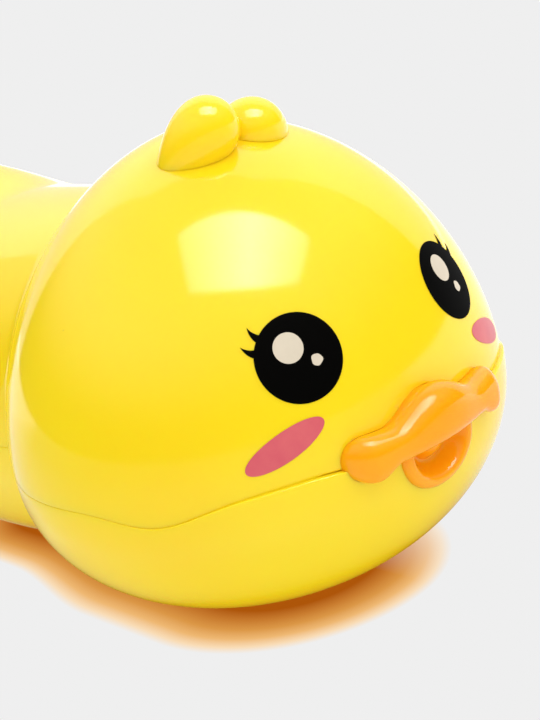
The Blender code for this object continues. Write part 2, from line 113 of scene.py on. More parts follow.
class DuckBodySizes(bpy.types.PropertyGroup):
    start: length("Start", "Where the body begins behind the middle of the head", 0.012)
    full: length("Full", "Where the body has its full section", 0.066)
    end: length("End", "Tip of the tail", 0.116)
    half_width: length("Half width", "Middle of the body to its side", 0.0385)
    back_height: length("Back height", "Back above the seam", 0.0402)
    belly_depth: length("Belly depth", "Belly below the seam", 0.0348)
    power: number("Section power", "Above 2 makes the section a little square", 2.15)
    neck_pinch: number("Neck pinch", "Share of the section lost at the neck", 0.10)
    neck_reach: length("Neck reach", "Length over which the neck narrows", 0.040)
    neck_fillet: length("Neck fillet", "Softness of the crease behind the head", 0.004)
    tail_rise: length("Tail rise", "How far the tail's tip lifts", 0.032)
    tail_rise_power: number("Tail rise power", "How late the tail lifts", 1.8)
    tail_taper_power: number("Tail taper power", "How late the tail gets thin", 2.2)


class DuckSeamSizes(bpy.types.PropertyGroup):
    wall: length("Wall", "Thickness of the shells", 0.0022)
    gap: length("Gap", "Gap between the shells' rims", 0.00001)
    upper_round: length("Upper rounding", "Rounding of the upper shell's rim", 0.00008)
    lower_round: length("Lower rounding", "Rounding of the lower shell's rim", 0.00021)
    level: length("Level", "Height of the seam over the middle plane", 0.0011)
    dip: length("Dip", "How far the seam sags below the cheeks", 0.0030)
    dip_place: length("Dip place", "Where the seam sags, along Y", -0.0215)
    dip_spread: length("Dip spread", "Length of the sag along Y", 0.0085)


class DuckBillSizes(bpy.types.PropertyGroup):
    half_span: length("Half span", "Middle of the bill to its end", 0.0189)
    lobe_place: length("Lobe place", "Middle of the bill to the middle of a lobe", 0.0150)
    valley_place: length("Valley place", "Middle of the bill to the dip beside the hump", 0.0105)
    hump_top: length("Hump top", "Top of the middle hump", 0.0090)
    valley_top: length("Valley top", "Top of the bill beside the hump", 0.0052)
    lobe_top: length("Lobe top", "Top of the lobes", 0.0055)
    middle_under: length("Middle underside", "Underside in the middle", -0.0010)
    lobe_under: length("Lobe underside", "Underside of the lobes", -0.0027)
    depth: length("Depth", "How far the hump stands off the face", 0.0058)
    valley_depth: length("Valley depth", "How far the bill stands off beside the hump", 0.0048)
    lobe_depth: length("Lobe depth", "How far the lobes stand off the face", 0.0048)
    under_power: number("Underside power", "Squareness of the section below its middle", 3.0)
    hump_power: number("Hump power", "Above 1 makes the hump's crest broader", 1.24)
    bulge: number("Bulge", "Share of the depth at which the bar is thickest", 0.3)
    root: number("Root", "How much deeper the bar goes behind the face", 2.5)


class DuckMouthSizes(bpy.types.PropertyGroup):
    height: length("Height", "Middle of the mouth", -0.0019)
    half_width: length("Half width", "Middle of the mouth to the end of the lip", 0.0089)
    drop: length("Drop", "Middle of the mouth to the bottom of the lip", 0.0082)
    lip: length("Lip", "How far the lower lip stands off the chin", 0.0012)
    lip_round: length("Lip rounding", "Rounding of the lower lip", 0.0011)
    recess: number("Recess", "Size of the recess as a share of the lip", 0.64)
    recess_round: length("Recess rounding", "Half of the width of the recess's wall", 0.0018)
    recess_depth: length("Recess depth", "Depth of the recess behind the lip", 0.0040)
    plug: length("Plug", "How far the plug reaches back from the chin", 0.0070)
    tongue: number("Tongue", "Size of the tongue as a share of the lip", 0.42)
    tongue_rise: length("Tongue rise", "How far the tongue stands off the recess's floor", 0.0026)


class DuckTuftSizes(bpy.types.PropertyGroup):
    right_out: length("Right tuft out", "Right tuft off the middle", 0.00845)
    right_forward: length("Right tuft forward", "Right tuft in front of the crown", 0.00936)
    right_seat: length("Right tuft seat", "Middle of the right tuft above the crown", 0.00088)
    left_out: length("Left tuft out", "Left tuft off the middle", 0.0070)
    left_forward: length("Left tuft forward", "Left tuft in front of the crown", 0.0081)
    left_seat: length("Left tuft seat", "Middle of the left tuft above the crown", -0.0031)
    long: length("Length", "Length of a tuft", 0.0195)
    right_wide: length("Right tuft width", "Width of the right tuft", 0.0106)
    left_wide: length("Left tuft width", "Width of the left tuft", 0.0120)
    thick: length("Thickness", "Thickness of a tuft", 0.0114)
    taper: number("Taper", "How much fatter a tuft is in front", 0.35)
    pitch: turn("Pitch", "Long axis up from level", 41)
    toe_in: turn("Toe in", "Plan angle of the long axis off straight ahead", 49)


class DuckFaceSizes(bpy.types.PropertyGroup):
    eye_out: length("Eye out", "Eyes off the middle", 0.0188)
    eye_up: length("Eye up", "Eyes above the seam", 0.0204)
    eye_radius: length("Eye radius", "Radius of the printed eye", 0.0076)
    eye_turn: turn("Eye turn", "Turn of the glints in the eye", 13)
    big_glint: FloatVectorProperty(name="Big glint", description="Across, up and radius of the big glint",
                                   default=(-0.0008, 0.0023, 0.0026), size=3, unit="LENGTH", precision=5)
    small_glint: FloatVectorProperty(name="Small glint", description="Across, up and radius of the small glint",
                                     default=(0.0024, -0.0018, 0.0010), size=3, unit="LENGTH", precision=5)
    lash_high: turn("Upper lash", "Angle of the upper lash", 43)
    lash_low: turn("Lower lash", "Angle of the lower lash", 23)
    lash_bend: turn("Lash bend", "How far a lash's tip is swept up", 5.5)
    lash_half_base: turn("Lash half base", "Half of the angle that a lash's root takes", 6.5)
    lash_length: length("Lash length", "How far a lash reaches past the eye", 0.0023)
    cheek_out: length("Cheek out", "Cheeks off the middle", 0.0262)
    cheek_up: length("Cheek up", "Cheeks above the seam", 0.0076)
    cheek_half_length: length("Cheek half length", "Half length of a cheek", 0.0078)
    cheek_half_height: length("Cheek half height", "Half height of a cheek", 0.00245)
    cheek_tilt: turn("Cheek tilt", "How far the cheeks' outer ends hang", 19)
    ink: length("Ink", "Thickness of a film of ink", 0.00004)


class DuckColours(bpy.types.PropertyGroup):
    yellow: colour("Yellow", "Shell plastic", (1.0, 0.71, 0.012))
    deep_yellow: colour("Deep yellow", "Shell plastic where the wall is thick", (1.0, 0.66, 0.008))
    orange: colour("Orange", "Bill plastic", (1.0, 0.41, 0.004))
    deep_orange: colour("Deep orange", "Bill plastic where the wall is thick", (1.0, 0.34, 0.002))
    black: colour("Black", "Ink of the eyes", (0.0012, 0.0011, 0.0009))
    cream: colour("Cream", "Ink of the glints", (0.69, 0.60, 0.46))
    pink: colour("Pink", "Ink of the cheeks", (0.69, 0.127, 0.137))
    deep_pink: colour("Deep pink", "Ink of the cheeks where it is dense", (0.63, 0.085, 0.118))
    speck: colour("Speck", "Dust and moulding specks", (0.20, 0.12, 0.02))
    floor: colour("Floor", "Pale floor and backdrop", (0.863, 0.863, 0.863))
    # Painted shadow and warm light on the floor at the shell's foot, at its darkest
    foot_shade_and_glow: colour("Glow", "Light that the shell throws on the floor at its foot", (0.42, 0.092, 0.003))


class DuckStageSettings(bpy.types.PropertyGroup):
    floor_radius: length("Floor radius", "Radius of the floor", 4.0)
    # The glow is painted on the floor: shadow and warm light round the shell's foot
    glow_length: length("Glow length", "Length of the straight part of the glow", 0.070)
    glow_reach: length("Glow reach", "How far the glow reaches round the head", 0.0351)
    glow_waist: length("Glow waist", "How far the glow reaches beside the body", 0.0294)
    glow_aside: length("Glow aside", "Middle of the glow beside the duck's middle", -0.002)
    softbox: number("Softbox", "Brightness of the softbox's middle where it is mirrored", 11.0)
    softbox_edge: number("Softbox edge", "Brightness of the softbox's ends where it is mirrored", 3.6)
    key: number("Key", "Brightness of the softbox as it lights", 1.9)
    backdrop: number("Backdrop", "Brightness of the backdrop behind the duck", 0.82)
    fill: number("Fill", "Brightness of the room as it lights", 0.87)
    room: number("Room", "Brightness of the ceiling where it is mirrored", 0.78)
    wall: number("Wall", "Brightness of the wall at the duck's right where it is mirrored", 1.15)
    table: number("Table", "Brightness of the floor by the duck where it is mirrored", 0.82)
    table_far: number("Table far off", "Brightness of the floor towards the camera where it is mirrored", 0.50)
    bounce: number("Bounce", "Share of the floor's brightness that lights the duck", 1.30)
    focal: number("Focal length", "Focal length of the camera in millimetres", 75.0)
    azimuth: turn("Azimuth", "Camera's place round the duck", -38.853)
    elevation: turn("Elevation", "Camera's height angle", 18.742)
    roll: turn("Roll", "Camera's tilt", -13.274)
    distance: length("Distance", "Camera to the middle of the head", 0.29004)
    across: number("Across", "Where the middle of the head shows, in pixels from the left", 259.37)
    down: number("Down", "Where the middle of the head shows, in pixels from the top", 399.70)


GROUPS = {"duck_head": DuckHeadSizes, "duck_body": DuckBodySizes, "duck_seam": DuckSeamSizes,
          "duck_bill": DuckBillSizes, "duck_mouth": DuckMouthSizes, "duck_tufts": DuckTuftSizes,
          "duck_face": DuckFaceSizes, "duck_colours": DuckColours, "duck_stage": DuckStageSettings}


# Forms

class DuckForm:
    """Outer surface of the duck, about the middle of the head."""

    def __init__(self, scene):
        self.head = scene.duck_head
        self.body = scene.duck_body
        self.seam = scene.duck_seam
        self.floor = self.head.foot_flat - self.head.chin_depth
        tail_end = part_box("upper_shell")[1].y
        self.place = Vector((0.0, tail_end - self.body.end, -self.floor))

    def tail_share(self, y):
        return np.clip((y - self.body.full) / (self.body.end - self.body.full), 0.0, 1.0)

    def seam_height(self, y):
        seam, body, half_length = self.seam, self.body, self.head.half_length
        dip = seam.dip * np.exp(-((y - seam.dip_place) / seam.dip_spread) ** 2)
        fade = 1.0 - np.clip((y - body.start) / (body.full - body.start), 0.0, 1.0)
        front = np.clip((y + half_length) / (0.1 * half_length), 0.0, 1.0)
        return (seam.level - dip) * fade * front + body.tail_rise * self.tail_share(y) ** body.tail_rise_power

    def half_length(self, upper):
        return self.head.half_length + (0.0 if upper else self.head.chin_proud)

    def head_value(self, x, y, z, upper):
        """Below 1 inside the head, 1 on its surface."""
        head = self.head
        length_here = np.where(y < 0, self.half_length(upper), head.half_length)
        depth = head.crown if upper else head.chin_depth
        power = head.crown_power if upper else head.chin_power
        flat = np.sqrt((x / head.half_width) ** 2 + (y / length_here) ** 2)
        return flat ** power + (np.abs(z) / depth) ** power

    def head_reach(self, y, z0, angle, upper):
        """Distance from the middle line to the head's surface."""
        def inside(reach):
            return self.head_value(reach * np.cos(angle), y, z0 + reach * np.sin(angle), upper) < 1.0
        return halved(inside, np.broadcast(y, angle).shape, 0.12, 40)[0]

    def body_reach(self, y, angle, upper):
        """Distance from the middle line to the body's surface."""
        body = self.body
        share = self.tail_share(y)
        neck = 1.0 - body.neck_pinch * (np.clip(body.full - y, 0.0, None) / body.neck_reach) ** 2
        taper = np.sqrt(np.clip(1.0 - share ** body.tail_taper_power, 0.0, 1.0))
        width = body.half_width * neck * np.sqrt(np.clip(1.0 - share ** 2, 0.0, 1.0)) + 1e-9
        height = (body.back_height if upper else body.belly_depth * neck) * taper + 1e-9
        reach = ((np.abs(np.cos(angle)) / width) ** body.power
                 + (np.abs(np.sin(angle)) / height) ** body.power) ** (-1.0 / body.power)
        return np.where(y < body.start, 0.0, reach)

    def reach(self, y, z0, angle, upper):
        return smooth_max(self.head_reach(y, z0, angle, upper), self.body_reach(y, angle, upper),
                          self.body.neck_fillet)

    def gradient(self, points, upper):
        """Outward normals of the head at points of its surface."""
        step = 1e-5
        slopes = []
        for axis in range(3):
            shift = np.zeros(3)
            shift[axis] = step
            ahead, behind = points + shift, points - shift
            slopes.append(self.head_value(*ahead.T, upper) - self.head_value(*behind.T, upper))
        normals = np.stack(slopes, axis=1)
        return normals / np.linalg.norm(normals, axis=1, keepdims=True)

    def drop(self, points, direction):
        """Moves points onto the upper head along a direction."""
        def outside(reach):
            return self.head_value(*(points + direction * reach[:, None]).T, True) > 1.0
        return points + direction * halved(outside, len(points), 0.03, 44)[1][:, None]


def halved(test, shape, far, steps):
    """Halves the span from 0 to far again and again, and keeps the half in which the test turns false."""
    low = np.zeros(shape)
    high = np.full(shape, far)
    for _ in range(steps):
        mid = (low + high) / 2
        holds = test(mid)
        low = np.where(holds, mid, low)
        high = np.where(holds, high, mid)
    return low, high


def smooth_max(a, b, fillet):
    """The larger of two values, with a fillet where they meet."""
    near = np.clip(1.0 - np.abs(a - b) / fillet, 0.0, 1.0)
    return np.maximum(a, b) + near ** 2 * fillet / 4


def ease(share):
    share = np.clip(share, 0.0, 1.0)
    return share * share * (3 - 2 * share)


# Meshes

def finish_piece(name, bm, place):
    """Makes the object of a piece, with the piece's place in its mesh."""
    bmesh.ops.remove_doubles(bm, verts=bm.verts, dist=WELD)
    bmesh.ops.recalc_face_normals(bm, faces=bm.faces)
    bmesh.ops.translate(bm, verts=bm.verts, vec=place)
    mesh = bpy.data.meshes.new(name)
    bm.to_mesh(mesh)
    bm.free()
    obj = bpy.data.objects.new(name, mesh)
    bpy.context.scene.collection.objects.link(obj)
    smooth_piece(obj)
    return obj


def smooth_piece(obj):
    obj.data.shade_smooth()
    obj.data.set_sharp_from_angle(angle=SHARP_EDGE)


def cut(obj, cutters, operation="DIFFERENCE"):
    """Cuts helper objects out of a piece, or joins them to it."""
    for cutter in cutters:
        modifier = obj.modifiers.new("Cut", "BOOLEAN")
        modifier.operation = operation
        modifier.solver = "EXACT"
        modifier.object = cutter
    depsgraph = bpy.context.evaluated_depsgraph_get()
    mesh = bpy.data.meshes.new_from_object(obj.evaluated_get(depsgraph))
    if not mesh.polygons:
        raise RuntimeError("nothing is left of %s after its cuts" % obj.name)
    obj.modifiers.clear()
    old = obj.data
    name = old.name
    obj.data = mesh
    bpy.data.meshes.remove(old)
    mesh.name = name
    smooth_piece(obj)


def drop_helpers(helpers):
    for helper in helpers:
        mesh = helper.data
        bpy.data.objects.remove(helper)
        bpy.data.meshes.remove(mesh)


def mapped_grid(points):
    """A grid whose corners are moved to an array of points."""
    rows, columns = points.shape[:2]
    bm = bmesh.new()
    bmesh.ops.create_grid(bm, x_segments=rows - 1, y_segments=columns - 1, size=1.0)
    for vert in bm.verts:
        i = round((vert.co.x + 1) / 2 * (rows - 1))
        j = round((vert.co.y + 1) / 2 * (columns - 1))
        vert.co = points[i, j]
    return bm


def dress(obj, material, slot, *nodes):
    """Gives a finished piece its material and its body, and hides the nodes that it stands for. Its slot is not
    used.
    """
    obj.data.materials.clear()
    obj.data.materials.append(material)
    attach(obj, "root")
    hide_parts(*nodes)


def shell_points(form, upper):
    """Closed loops round the wall of a half shell, one ring after another along Y."""
    seam, body = form.seam, form.body
    side = 1 if upper else -1
    front = -form.half_length(upper)
    tail = body.full + (body.end - body.full) * np.sin(np.linspace(0.0, math.pi / 2, 41))
    y = np.concatenate([front * np.cos(np.linspace(0.0, math.pi / 2, 71))[:-1],
                        np.linspace(0.0, body.full, 81)[:-1], tail])[:, None]
    z0 = form.seam_height(y)
    edge = form.reach(y, z0, np.full((1, 1), math.pi * 0.9999) * side, upper)
    edge[0] = 0.0
    edge[-1] = 0.0
    rounding = np.minimum(seam.upper_round if upper else seam.lower_round, 0.3 * edge)
    start = np.arcsin(np.clip(rounding / np.maximum(edge, 1e-9), 0.0, 0.3))
    share = np.linspace(0.0, 1.0, 129)[None, :]
    angle = (math.pi - start) + (2 * start - math.pi) * share
    reach = form.reach(y, z0, angle * side, upper)
    reach[0] = 0.0
    reach[-1] = 0.0
    x = reach * np.cos(angle)
    z = z0 + side * reach * np.sin(angle)
    z = smooth_max(z, form.floor, 0.0006) if not upper else z
    outer = np.stack([x, np.broadcast_to(y, x.shape), z + side * seam.gap / 2], axis=-1)
    normal = np.cross(np.gradient(outer, axis=0), np.gradient(outer, axis=1))
    middle = outer.mean(axis=1, keepdims=True)
    normal *= np.sign(np.sum(normal * (outer - middle), axis=-1, keepdims=True))
    normal /= np.maximum(np.linalg.norm(normal, axis=-1, keepdims=True), 1e-12)
    normal[0] = (0.0, -1.0, 0.0)
    normal[-1] = (0.0, 1.0, 0.0)
    inner = (outer - normal * seam.wall)[:, ::4]
    rim = z0[:, 0] + side * seam.gap / 2
    columns = []
    for column in (0, -1):
        flat = normal[:, column] * (1.0, 1.0, 0.0)
        flat /= np.maximum(np.linalg.norm(flat, axis=-1, keepdims=True), 1e-12)
        at = outer[:, column]
        rolled = []
        for step in range(1, 5):
            bend = math.pi / 8 * step
            point = at - flat * rounding * (1 - math.cos(bend))
            point[:, 2] = rim + side * rounding[:, 0] * (1 - math.sin(bend))
            rolled.append(point)
        back = at - flat * seam.wall
        back[:, 2] = rim
        rolled.append(back)
        columns.append(rolled)
    right, left = columns
    loop = [outer[:, k] for k in range(outer.shape[1])] + left
    loop += [inner[:, k] for k in range(inner.shape[1] - 1, -1, -1)] + right[::-1] + [outer[:, 0]]
    return np.stack(loop, axis=1)


def bill_bar(form, bill, grow=0.0):
    """Bar of the bill: a hump between two lobes, bent round the face."""
    share = -np.cos(np.linspace(0.0, math.pi, 109))[:, None]
    x = (bill.half_span + grow) * share
    out = np.abs(bill.half_span * share)
    to_valley = ease(out / bill.valley_place) ** bill.hump_power
    to_lobe = ease((out - bill.valley_place) / (bill.lobe_place - bill.valley_place))

    def along(hump, valley, lobe):
        return hump + (valley - hump) * to_valley + (lobe - valley) * to_lobe

    top = along(bill.hump_top, bill.valley_top, bill.lobe_top)
    under = bill.middle_under + (bill.lobe_under - bill.middle_under) * to_lobe
    depth = along(bill.depth, bill.valley_depth, bill.lobe_depth)
    past = np.clip((out - bill.lobe_place) / (bill.half_span - bill.lobe_place), 0.0, 1.0)
    close = np.sqrt(1 - past ** 2)
    grown = np.where(close > 0, grow, 0.0)
    turn = np.linspace(0.0, 2 * math.pi, 73)[None, :]
    power = np.where(turn > math.pi, bill.under_power, 2.0)
    size = (np.abs(np.cos(turn)) ** power + np.abs(np.sin(turn)) ** power) ** (-1 / power)
    face = -form.head.half_length * np.sqrt(1 - (x / form.head.half_width) ** 2)
    half = (top - under) / 2 * close + grown
    stand = bill.bulge + (1 - bill.bulge) * np.cos(turn) * size
    stand = np.where(stand < 0, stand * bill.root, stand)
    y = face - depth * close * stand - grown * np.cos(turn) * size
    z = (top + under) / 2 + half * np.sin(turn) * size
    return mapped_grid(np.stack([np.broadcast_to(x, y.shape), y, z], axis=-1))


def mouth_cup(form, mouth, grow=0.0, solid=False):
    """Plug of the mouth: a rounded lower lip, a recess and a tongue, spun and laid along the chin."""
    chin = form.half_length(False)
    lip = -(chin + mouth.lip)
    back = mouth.plug - chin
    floor = lip + mouth.recess_depth
    wide = mouth.half_width
    if solid:
        profile = [(0.0, lip - grow), (wide + grow, lip - grow), (wide + grow, back + grow), (0.0, back + grow)]
    else:
        crest = wide - mouth.lip_round
        profile = [(0.0, back), (wide, back)]
        for step in range(9):
            bend = math.pi / 16 * step
            profile.append((crest + mouth.lip_round * math.cos(bend),
                            lip + mouth.lip_round * (1 - math.sin(bend))))
        for step in range(13):
            drop = mouth.recess_depth * float(ease(step / 12))
            profile.append((wide * mouth.recess + mouth.recess_round * (1 - step / 6), lip + drop))
        for step in range(10):
            out = 1 - step / 9
            profile.append((wide * mouth.tongue * out, floor - mouth.tongue_rise * (1 - out ** 2)))
    bm = bmesh.new()
    verts = [bm.verts.new((x, y, 0.0)) for x, y in profile]
    edges = [bm.edges.new(pair) for pair in zip(verts, verts[1:])]
    bmesh.ops.spin(bm, geom=verts + edges, cent=(0, 0, 0), axis=(0, 1, 0), angle=2 * math.pi, steps=96,
                   use_merge=True)
    bmesh.ops.scale(bm, verts=bm.verts, vec=(1.0, 1.0, mouth.drop / wide))
    bmesh.ops.translate(bm, verts=bm.verts, vec=(0.0, 0.0, mouth.height))
    head = form.head
    for vert in bm.verts:
        level = (1 - (abs(vert.co.z) / head.chin_depth) ** head.chin_power) ** (2 / head.chin_power)
        vert.co.y += chin * (1 - math.sqrt(level - (vert.co.x / head.half_width) ** 2))
    return bm


def tuft_axes(form, tufts, side):
    """Seat and axes of a tuft: its long axis rises forward and inward from the tail."""
    if side > 0:
        out, forward, seat = tufts.left_out, tufts.left_forward, tufts.left_seat
    else:
        out, forward, seat = tufts.right_out, tufts.right_forward, tufts.right_seat
    head = form.head
    flat = math.hypot(out / head.half_width, forward / head.half_length)
    height = head.crown * (1 - flat ** head.crown_power) ** (1 / head.crown_power)
    ahead = Vector((-side * math.sin(tufts.toe_in), -math.cos(tufts.toe_in), 0.0))
    up = Vector((0.0, 0.0, 1.0))
    long_axis = ahead * math.cos(tufts.pitch) + up * math.sin(tufts.pitch)
    upright = up * math.cos(tufts.pitch) - ahead * math.sin(tufts.pitch)
    return Vector((side * out, -forward, height + seat)), long_axis, upright


def tuft_lump(form, tufts, side):
    """A tuft: an egg that is fatter in front."""
    centre, long_axis, upright = tuft_axes(form, tufts, side)
    across = upright.cross(long_axis)
    wide = tufts.left_wide if side > 0 else tufts.right_wide
    bm = bmesh.new()
    bmesh.ops.create_uvsphere(bm, u_segments=96, v_segments=64, radius=1.0)
    for vert in bm.verts:
        fat = 1 + tufts.taper * vert.co.z
        vert.co = (centre + long_axis * (vert.co.z * tufts.long / 2)
                   + across * (vert.co.x * fat * wide / 2)
                   + upright * (vert.co.y * fat * tufts.thick / 2))
    return bm


def crown_form(form, grow):
    """Closed lump with the head's crown on top, to seat the tufts on."""
    bm = bmesh.new()
    bmesh.ops.create_uvsphere(bm, u_segments=256, v_segments=160, radius=1.0)
    bmesh.ops.bisect_plane(bm, geom=bm.verts[:] + bm.edges[:] + bm.faces[:], plane_co=(0, 0, 0.55),
                           plane_no=(0, 0, -1), clear_outer=True)
    bmesh.ops.holes_fill(bm, edges=[edge for edge in bm.edges if edge.is_boundary], sides=0)
    head = form.head
    for vert in bm.verts:
        flat = math.hypot(vert.co.x / head.half_width, vert.co.y / head.half_length)
        value = flat ** head.crown_power + (vert.co.z / head.crown) ** head.crown_power
        reach = value ** (-1 / head.crown_power)
        vert.co = vert.co * (reach + grow)
    return bm


def face_frame(form, x, z):
    """Point of the face at (x, z), its tangents to the duck's left and up, and its normal."""
    head = form.head
    level = (1 - (z / head.crown) ** head.crown_power) ** (2 / head.crown_power)
    y = -head.half_length * math.sqrt(level - (x / head.half_width) ** 2)
    point = np.array([x, y, z])
    normal = form.gradient(point[None, :], True)[0]
    left = np.cross((0.0, 0.0, 1.0), normal)
    left /= np.linalg.norm(left)
    return point, left, np.cross(normal, left), normal


def disc(radius_u, radius_v, columns=144, rings=14, wobble=0.0):
    """Flat disc of rings round its middle."""
    turn = np.linspace(0.0, 2 * math.pi, columns + 1)[None, :]
    share = np.linspace(0.0, 1.0, rings + 1)[:, None]
    uneven = 1 + wobble * (np.cos(3 * turn + 0.6) + 0.7 * np.cos(5 * turn + 2.0))
    u = radius_u * share * uneven * np.cos(turn)
    v = radius_v * share * uneven * np.sin(turn)
    bm = mapped_grid(np.stack([u, v, np.zeros_like(u)], axis=-1))
    bmesh.ops.remove_doubles(bm, verts=bm.verts, dist=WELD)
    return bm


def turned(bm, angle, u, v):
    """Turns a flat outline and moves it to its place on the face's tangent plane."""
    bmesh.ops.rotate(bm, verts=bm.verts, cent=(0, 0, 0), matrix=Matrix.Rotation(angle, 3, "Z"))
    bmesh.ops.translate(bm, verts=bm.verts, vec=(u, v, 0.0))


def add_lash(bm, face, middle, side):
    """Pulls a curved lash out of the eye's rim."""
    steps = 10
    rim = [e for e in bm.edges if e.is_boundary and all(
        abs(math.atan2(v.co.y, v.co.x) % (2 * math.pi) - middle) < face.lash_half_base + 1e-4
        and v.co.length > 0.99 * face.eye_radius for v in e.verts)]
    edges = rim
    for step in range(1, steps + 1):
        made = bmesh.ops.extrude_edge_only(bm, edges=edges)["geom"]
        edges = [item for item in made if isinstance(item, bmesh.types.BMEdge)
                 and all(v in made for v in item.verts)]
        share = step / steps
        before = (step - 1) / steps
        for vert in (item for item in made if isinstance(item, bmesh.types.BMVert)):
            turn = math.atan2(vert.co.y, vert.co.x) % (2 * math.pi)
            offset = turn - middle - side * face.lash_bend * before ** 2
            narrow = (1 - share) / max(1 - before, 1e-6)
            bent = middle + side * face.lash_bend * share ** 2 + offset * narrow
            reach = face.eye_radius + face.lash_length * share
            vert.co = (reach * math.cos(bent), reach * math.sin(bent), 0.0)


def lay_on_face(form, bm, frame_at, lift, ink):
    """Lays a flat patch on the face and gives it the thickness of its ink."""
    point, left, up, normal = frame_at
    bm.verts.ensure_lookup_table()
    flat = np.array([vert.co[:2] for vert in bm.verts])
    start = point + flat[:, :1] * left + flat[:, 1:] * up + normal * 0.01
    foot = form.drop(start, -normal)
    rise = form.gradient(foot, True)
    for vert, at, out in zip(bm.verts, foot, rise):
        vert.co = at + out * lift
    bmesh.ops.recalc_face_normals(bm, faces=bm.faces)
    bm.normal_update()
    outward = sum(face.normal.dot(Vector(normal)) for face in bm.faces)
    if outward < 0:
        bmesh.ops.reverse_faces(bm, faces=bm.faces)
    top = bmesh.ops.extrude_face_region(bm, geom=bm.faces[:])["geom"]
    moved = [item for item in top if isinstance(item, bmesh.types.BMVert)]
    bmesh.ops.translate(bm, verts=moved, vec=Vector(normal) * ink)
    return bm


# Materials

def feed(tree, socket, value):
    """Gives an input a value, or links it to an output."""
    if isinstance(value, bpy.types.NodeSocket):
        tree.links.new(value, socket)
    else:
        socket.default_value = value


def fill(tree, node, **inputs):
    """Feeds a node's inputs by name, with an underscore for each space."""
    for name, value in inputs.items():
        feed(tree, node.inputs[name.replace("_", " ")], value)
    return node


def new_node(tree, kind, **inputs):
    return fill(tree, tree.nodes.new("ShaderNode" + kind), **inputs)


def calc(tree, operation, *values, clamp=False):
    """Result of a Math node."""
    node = new_node(tree, "Math")
    node.operation = operation
    node.use_clamp = clamp
    for socket, value in zip(node.inputs, values):
        feed(tree, socket, value)
    return node.outputs["Value"]


def mixed(tree, factor, first, second):
    """Mix of two colours by a mask."""
    node = new_node(tree, "Mix")
    node.data_type = "RGBA"
    for index, value in ((0, factor), (6, first), (7, second)):
        feed(tree, node.inputs[index], (*value, 1.0) if isinstance(value, tuple) else value)
    return node.outputs[2]


def smooth_step(tree, value, start, end, first=0.0, last=1.0):
    """Smooth change from the first value to the last between start and end."""
    node = new_node(tree, "MapRange", Value=value, From_Min=start, From_Max=end, To_Min=first, To_Max=last)
    node.interpolation_type = "SMOOTHSTEP"
    return node.outputs["Result"]


def object_axes(tree):
    """X, Y and Z of the Object coordinates."""
    return new_node(tree, "SeparateXYZ", Vector=new_node(tree, "TexCoord").outputs["Object"]).outputs


def new_group(name, inputs, outputs):
    """Empty shader node group with its sockets. An input without a default is a vector."""
    group = bpy.data.node_groups.new(name, "ShaderNodeTree")
    for socket, default in inputs.items():
        kind = "NodeSocketVector" if default is None else "NodeSocketFloat"
        made = group.interface.new_socket(socket, in_out="INPUT", socket_type=kind)
        if default is not None:
            made.default_value = default
    for socket, kind in outputs.items():
        group.interface.new_socket(socket, in_out="OUTPUT", socket_type=kind)
    return group, group.nodes.new("NodeGroupInput").outputs, group.nodes.new("NodeGroupOutput")


def specks_group():
    """Few tiny specks of dust and burnt plastic, spread unevenly."""
    group, given, end = new_group("Plastic Specks", {"Vector": None, "Scale": 90.0, "Size": 0.03, "Share": 0.3},
                                  {"Mask": "NodeSocketFloat"})
    cells = new_node(group, "TexVoronoi", Vector=given["Vector"], Scale=given["Scale"]).outputs
    pick = new_node(group, "SeparateColor", Color=cells["Color"]).outputs
    chosen = calc(group, "LESS_THAN", pick["Red"], given["Share"])
    size = calc(group, "ADD", calc(group, "MULTIPLY", given["Size"], pick["Green"]), 0.004)
    near = calc(group, "SUBTRACT", 1.0, calc(group, "DIVIDE", cells["Distance"], size), clamp=True)
    solid = calc(group, "MULTIPLY", near, 2.5, clamp=True)
    fill(group, end, Mask=calc(group, "MULTIPLY", solid, chosen))
    return group


def moulded_group():
    """Soft ripple of a moulded surface with fine hairline scratches."""
    group, given, end = new_group(
        "Moulded Surface",
        {"Vector": None, "Ripple Scale": 90.0, "Ripple": 0.05, "Scratches": 0.1, "Base Roughness": 0.1},
        {"Roughness": "NodeSocketFloat", "Thickness": "NodeSocketFloat", "Normal": "NodeSocketVector"})
    vector = given["Vector"]
    wide = new_node(group, "TexNoise", Vector=vector, Scale=28.0, Detail=2.0).outputs["Fac"]
    ripple = new_node(group, "TexNoise", Vector=vector, Scale=given["Ripple Scale"], Detail=1.0).outputs["Fac"]
    stretched = new_node(group, "Mapping", Vector=vector, Rotation=(0.4, 0.9, 0.3), Scale=(900.0, 26.0, 900.0))
    hair = new_node(group, "TexNoise", Vector=stretched.outputs["Vector"], Scale=1.0, Detail=1.0).outputs["Fac"]
    scratch = calc(group, "SUBTRACT", hair, 0.70, clamp=True)
    scratch = calc(group, "MULTIPLY", scratch, 12.0, clamp=True)
    scratch = calc(group, "MULTIPLY", scratch, given["Scratches"])
    rough = calc(group, "MULTIPLY_ADD", wide, 0.06, given["Base Roughness"])
    height = calc(group, "SUBTRACT", ripple, calc(group, "MULTIPLY", scratch, 0.15))
    bump = new_node(group, "Bump", Strength=given["Ripple"], Distance=0.0004, Height=height)
    fill(group, end, Roughness=calc(group, "ADD", rough, scratch), Thickness=wide,
         Normal=bump.outputs["Normal"])
    return group


def placed(tree, build, name, **inputs):
    """Puts a shared node group, built when it is first needed, into a material with its own values."""
    node = new_node(tree, "Group")
    node.node_tree = bpy.data.node_groups.get(name) or build()
    return fill(tree, node, **inputs).outputs


def moulded_material(name, light, specular, **surface_values):
    """New material with the moulded surface in its normal, its coordinates and the surface's outputs."""
    material = bpy.data.materials.new(name)
    material.use_nodes = True
    material.diffuse_color = (*light, 1.0)
    tree = material.node_tree
    coords = new_node(tree, "TexCoord").outputs["Object"]
    surface = placed(tree, moulded_group, "Moulded Surface", Vector=coords, **surface_values)
    shader = fill(tree, tree.nodes["Principled BSDF"], Normal=surface["Normal"], Specular_IOR_Level=specular)
    return material, shader, coords, surface


